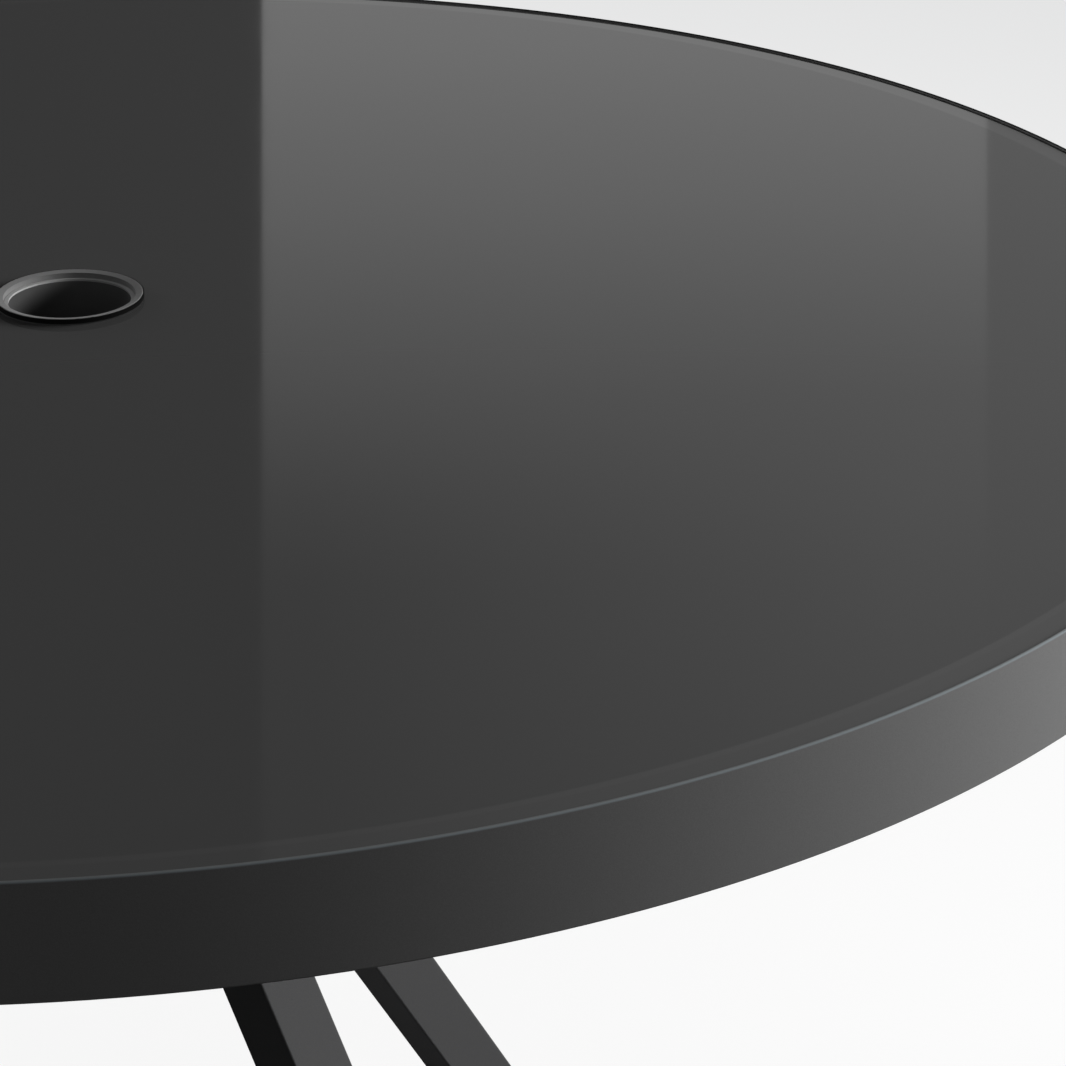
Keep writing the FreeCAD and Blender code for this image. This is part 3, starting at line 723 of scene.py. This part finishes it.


# Umbrella ring, trim and gasket
# A black moulded sleeve hangs by its flange on a rubber washer and lifts out; its bore is painted
# grey, partly as scuffs from poles and partly as painted light, lighter towards the right, where it
# is in shade.
# A dished trim of spun metal, coated grey with a painted highlight along its ledge, is let into its
# mouth.
RUBBER_DARK = (0.010, 0.010, 0.010, 1.0)
RUBBER_LIGHT = (0.018, 0.018, 0.018, 1.0)
RUBBER_ROUGHNESS = (0.60, 0.75)
RUBBER_GRAIN = {"scale": 1500.0, "detail": 3.0}
SLEEVE_DARK = (0.0035, 0.0035, 0.0035, 1.0)
SLEEVE_LIGHT = (0.0045, 0.0045, 0.0045, 1.0)
SLEEVE_ROUGHNESS = (0.80, 0.92)
SLEEVE_SPECULAR = 0.05
SLEEVE_BORE = 0.03175
BORE_PAINT_FADE = 0.002
BORE_SCUFF_AND_LIGHT_STOPS = ((0.0, (0.044, 0.044, 0.044, 1.0)), (1.0, (0.105, 0.105, 0.105, 1.0)))
TRIM_DARK = (0.152, 0.152, 0.152, 1.0)
TRIM_LIGHT = (0.170, 0.170, 0.170, 1.0)
TRIM_ROUGHNESS = (0.36, 0.44)
TRIM_SPECULAR = 0.5
TRIM_LEDGE_PAINTED_HIGHLIGHT = (0.36, 0.36, 0.36, 1.0)
TRIM_HIGHLIGHT_LIMITS = (0.0340, 0.0336)

rubber = grained_finish("black_rubber", RUBBER_DARK, RUBBER_LIGHT, RUBBER_ROUGHNESS, RUBBER_GRAIN)
dress(rubber, "ring_gasket")

sleeve = grained_finish(
    "black_sleeve", SLEEVE_DARK, SLEEVE_LIGHT, SLEEVE_ROUGHNESS, MOULDED_GRAIN, MOULDED_RELIEF
)
set_sockets(sleeve, Specular_IOR_Level=SLEEVE_SPECULAR)
# The bore's grey is scuffs and painted light together, lighter towards the right, where the bore is
# in shade.
in_bore = part_way(sleeve, from_axis(sleeve), SLEEVE_BORE + BORE_PAINT_FADE, SLEEVE_BORE)
across_bore = part_way(sleeve, along(sleeve, "X"), -SLEEVE_BORE, 0.0)
paint_wear_and_light(sleeve, in_bore, blend_colours(sleeve, across_bore, BORE_SCUFF_AND_LIGHT_STOPS))
dress(sleeve, "umbrella_ring")

trim_coat = coat_finish("grey_trim_coat", TRIM_DARK, TRIM_LIGHT, TRIM_ROUGHNESS, TRIM_SPECULAR)
# A painted highlight along the trim's inner ledge.
ledge_highlight_share = part_way(trim_coat, from_axis(trim_coat), *TRIM_HIGHLIGHT_LIMITS)
paint_wear_and_light(trim_coat, ledge_highlight_share, TRIM_LEDGE_PAINTED_HIGHLIGHT)
dress(trim_coat, "ring_trim")


# Camera
# It stands in front of the table and a little above it, with a long lens turned down on the rim.
# The picture is square, so a pixel's place gives the ray that made it.
PICTURE = 1066
CAMERA_PLACE = Vector((0.1868, -1.6738, 1.3577))
CAMERA_TILT = math.radians(66.01)
CAMERA_TURN = math.radians(-1.85)
LENS = 115.08
SENSOR = 36.0
NEAREST_SEEN = 0.05

bpy.ops.object.camera_add(location=CAMERA_PLACE, rotation=(CAMERA_TILT, 0.0, CAMERA_TURN))
camera = bpy.context.object
camera.data.lens = LENS
camera.data.sensor_width = SENSOR
camera.data.clip_start = NEAREST_SEEN
bpy.context.scene.camera = camera
bpy.context.view_layer.update()


# Floor and room
# A pale floor that keeps the table's shadow, in a plain pale room. The floor's glow is a painted
# pool of light, brightest round the table, dimmer by 5 m and lighter again towards 12 m to meet the
# room.
# Both look the same straight on and mirrored in the table.
FLOOR_SIZE = 60.0
FLOOR_PAINT = (0.80, 0.80, 0.80, 1.0)
FLOOR_ROUGHNESS = 0.9
FLOOR_NEAR = (0.975, 0.975, 0.975, 1.0)
FLOOR_FAR = (0.78, 0.785, 0.79, 1.0)
FLOOR_EDGE = (0.905, 0.911, 0.917, 1.0)
NEAR_REACH = 0.8
FAR_REACH = 5.0
EDGE_REACH = 12.0
FAR_STOP = (FAR_REACH - NEAR_REACH) / (EDGE_REACH - NEAR_REACH)
FLOOR_STOPS = ((0.0, FLOOR_NEAR), (FAR_STOP, FLOOR_FAR), (1.0, FLOOR_EDGE))
FLOOR_GLOW = 0.85
ROOM_WHITE = (1.0, 1.0, 1.0, 1.0)
ROOM_LIGHT = 0.135


def reckon(finish, operation, first, second):
    return add_node(finish, "ShaderNodeMath", {0: first, 1: second}, operation=operation).outputs[0]


def seen_or_mirrored(finish):
    """1 for rays from the camera and for mirrored or transmitted ones, 0 for the rest."""
    path = add_node(finish, "ShaderNodeLightPath", {}).outputs
    direct = reckon(finish, "MAXIMUM", path["Is Camera Ray"], path["Is Glossy Ray"])
    return reckon(finish, "MAXIMUM", direct, path["Is Transmission Ray"])


def show_mix(finish, output, share, first, second):
    """Show one shader, and another in its place by a share."""
    mix = add_node(finish, "ShaderNodeMixShader", {0: share, 1: first, 2: second})
    surface = finish.node_tree.nodes[output].inputs["Surface"]
    finish.node_tree.links.new(mix.outputs["Shader"], surface)


start_fresh()
bpy.ops.mesh.primitive_plane_add(size=FLOOR_SIZE)
floor = bpy.context.object
floor.name = "floor"
pale_floor = new_finish("pale_floor")
set_sockets(pale_floor, Base_Color=FLOOR_PAINT, Roughness=FLOOR_ROUGHNESS, Specular_IOR_Level=0.0)
# The glow is graded as a painted pool of light round the table.
floor_reach = part_way(pale_floor, from_axis(pale_floor), NEAR_REACH, EDGE_REACH)
floor_shade = blend_colours(pale_floor, floor_reach, FLOOR_STOPS)
floor_glow = add_node(pale_floor, "ShaderNodeEmission", {"Color": floor_shade}).outputs["Emission"]
glow_share = reckon(pale_floor, "MULTIPLY", seen_or_mirrored(pale_floor), FLOOR_GLOW)
floor_paint = shader_of(pale_floor).outputs["BSDF"]
show_mix(pale_floor, "Material Output", glow_share, floor_paint, floor_glow)
floor.data.materials.append(pale_floor)

room = bpy.data.worlds.new("pale_room")
bpy.context.scene.world = room
room.use_nodes = True
room_lit = room.node_tree.nodes["Background"]
room_lit.inputs["Color"].default_value = ROOM_WHITE
room_lit.inputs["Strength"].default_value = ROOM_LIGHT
room_shown = add_node(room, "ShaderNodeBackground", {"Color": FLOOR_FAR, "Strength": 1.0})
show_mix(
    room,
    "World Output",
    seen_or_mirrored(room),
    room_lit.outputs["Background"],
    room_shown.outputs["Background"],
)


# Cards, flags and cloth
# A graded card behind the table gives the glass its sheen, and two flags end it at the sides.
# A black cloth on the floor keeps the left side and the underside dark. None is in the picture.
CARD_DISTANCE = 4.0
CARD_HEIGHTS = (0.0, 9.0)
CARD_FOOT = (0.0, CARD_DISTANCE, 0.0)
CARD_FADE = (3.8, 8.0)
CARD_GLOW_HEIGHTS = (1.60, 1.76, 2.03, 2.40, 2.60, 2.76, 3.20)
CARD_GLOW_LEFT = (0.515, 0.505, 0.43, 0.26, 0.15, 0.10, 0.09)
CARD_GLOW_RIGHT = (0.515, 0.505, 0.44, 0.30, 0.29, 0.27, 0.25)
SHEEN_COLUMNS = (262.0, 987.0)
FLAG_REACH = 8.0
FLAG_HEIGHTS = (1.30, 1.55, CARD_HEIGHTS[1])
FLAG_GLOW_LEFT = (CARD_GLOW_LEFT[0], 0.045, 0.045)
FLAG_GLOW_RIGHT = (CARD_GLOW_RIGHT[0], 0.26, 0.26)
CLOTH_EDGES = (2.5, 1.0)
CLOTH_SPAN = 9.0
CLOTH_HOLE = 0.16
CLOTH_LIFT = 0.0005
CLOTH_STEPS = 64
CLOTH_SHADE = (0.01, 0.01, 0.01, 1.0)


def mirrored_place(column, row):
    """The point of the card that the glass mirrors at a pixel of the picture."""
    pixel = SENSOR / LENS / PICTURE
    across = (column - PICTURE / 2) * pixel
    down = (row - PICTURE / 2) * pixel
    ray = camera.matrix_world.to_3x3() @ Vector((across, -down, -1.0))
    ray.z = -ray.z
    eye = Vector((CAMERA_PLACE.x, CAMERA_PLACE.y, 2 * GLASS_TOP - CAMERA_PLACE.z))
    return eye + ray * ((CARD_DISTANCE - eye.y) / ray.y)


def card_edge(column):
    """An upright edge, its low and its high end, that the glass mirrors as one column of pixels."""
    first = mirrored_place(column, 0)
    second = mirrored_place(column, PICTURE)
    run = second.z - first.z
    return [first.lerp(second, (height - first.z) / run) for height in CARD_HEIGHTS]


def far_edge(x):
    """The upright outer edge of a flag."""
    return [Vector((x, CARD_DISTANCE, height)) for height in CARD_HEIGHTS]


def glow_up(finish, heights, glows):
    """A grey that runs up a card through its glows at their heights."""
    low, high = heights[0], heights[-1]
    stops = [
        ((height - low) / (high - low), (glow, glow, glow, 1.0))
        for height, glow in zip(heights, glows)
    ]
    return blend_colours(finish, part_way(finish, along(finish, "Z"), low, high), stops)


def show_card(finish, colour):
    """Let a card glow, and thin out from its foot, so that its ends don't show in the table."""
    glow = add_node(finish, "ShaderNodeEmission", {"Color": colour}).outputs["Emission"]
    clear = add_node(finish, "ShaderNodeBsdfTransparent", {}).outputs["BSDF"]
    ends = {0: place_on(finish), 1: CARD_FOOT}
    off = add_node(finish, "ShaderNodeVectorMath", ends, operation="DISTANCE").outputs["Value"]
    show_mix(finish, "Material Output", part_way(finish, off, *CARD_FADE), glow, clear)


def hide_from_picture(sheet, finish):
    """Make a sheet part of the stage, never in the picture itself."""
    sheet.data.materials.append(finish)
    sheet.visible_camera = False
    sheet.visible_shadow = False


def panel(name, left_edge, right_edge, finish):
    """A flat upright sheet from its left to its right edge, each a low and a high end."""
    start_fresh()
    bpy.ops.mesh.primitive_plane_add(size=1.0)
    sheet = bpy.context.object
    sheet.name = name
    corners = (left_edge[0], right_edge[0], left_edge[1], right_edge[1])
    for vertex, corner in zip(sheet.data.vertices, corners):
        vertex.co = corner
    hide_from_picture(sheet, finish)


sheen_left, sheen_right = [card_edge(column) for column in SHEEN_COLUMNS]
graded_card = new_finish("graded_card")
across_card = part_way(graded_card, along(graded_card, "X"), sheen_left[0].x, sheen_right[0].x)
card_glow = add_node(graded_card, "ShaderNodeMixRGB", {
    "Fac": across_card,
    "Color1": glow_up(graded_card, CARD_GLOW_HEIGHTS, CARD_GLOW_LEFT),
    "Color2": glow_up(graded_card, CARD_GLOW_HEIGHTS, CARD_GLOW_RIGHT),
})
show_card(graded_card, card_glow.outputs["Color"])
panel("graded_card", sheen_left, sheen_right, graded_card)

left_flag = new_finish("left_flag")
show_card(left_flag, glow_up(left_flag, FLAG_HEIGHTS, FLAG_GLOW_LEFT))
panel("left_flag", far_edge(-FLAG_REACH), sheen_left, left_flag)

right_flag = new_finish("right_flag")
show_card(right_flag, glow_up(right_flag, FLAG_HEIGHTS, FLAG_GLOW_RIGHT))
panel("right_flag", sheen_right, far_edge(FLAG_REACH), right_flag)

black_cloth = new_finish("black_cloth")
set_sockets(black_cloth, Base_Color=CLOTH_SHADE, Roughness=1.0, Specular_IOR_Level=0.0)
cloth = turn("floor_cloth", [(CLOTH_HOLE, CLOTH_LIFT), (CLOTH_SPAN, CLOTH_LIFT)], CLOTH_STEPS)
for vertex in cloth.data.vertices:
    vertex.co.x = min(vertex.co.x, CLOTH_EDGES[0])
    vertex.co.y = min(vertex.co.y, CLOTH_EDGES[1])
hide_from_picture(cloth, black_cloth)


# Lamps
# A large soft lamp low at the right is the key, and another behind at the left lights the far
# side. Their level shows a colour about as it is written, and the table doesn't mirror them.
KEY_PLACE = Vector((2.50, 0.45, 1.38))
KEY_AIM = Vector((0.0, 0.0, 0.75))
KEY_SIZE = (1.9, 0.6)
KEY_POWER = 118.0
BACK_PLACE = Vector((-2.2, 2.4, 0.9))
BACK_AIM = Vector((0.0, 0.0, 0.5))
BACK_SIZE = (1.2, 1.2)
BACK_POWER = 60.0


def soft_lamp(name, place, aim, size, power):
    bpy.ops.object.light_add(type="AREA", location=place)
    lamp = bpy.context.object
    lamp.name = name
    lamp.data.shape = "RECTANGLE"
    lamp.data.size, lamp.data.size_y = size
    lamp.data.energy = power
    lamp.rotation_euler = (aim - place).to_track_quat("-Z", "Y").to_euler()
    lamp.visible_camera = False
    lamp.visible_glossy = False


soft_lamp("key_lamp", KEY_PLACE, KEY_AIM, KEY_SIZE, KEY_POWER)
soft_lamp("back_lamp", BACK_PLACE, BACK_AIM, BACK_SIZE, BACK_POWER)

bpy.context.scene.view_settings.view_transform = "Standard"
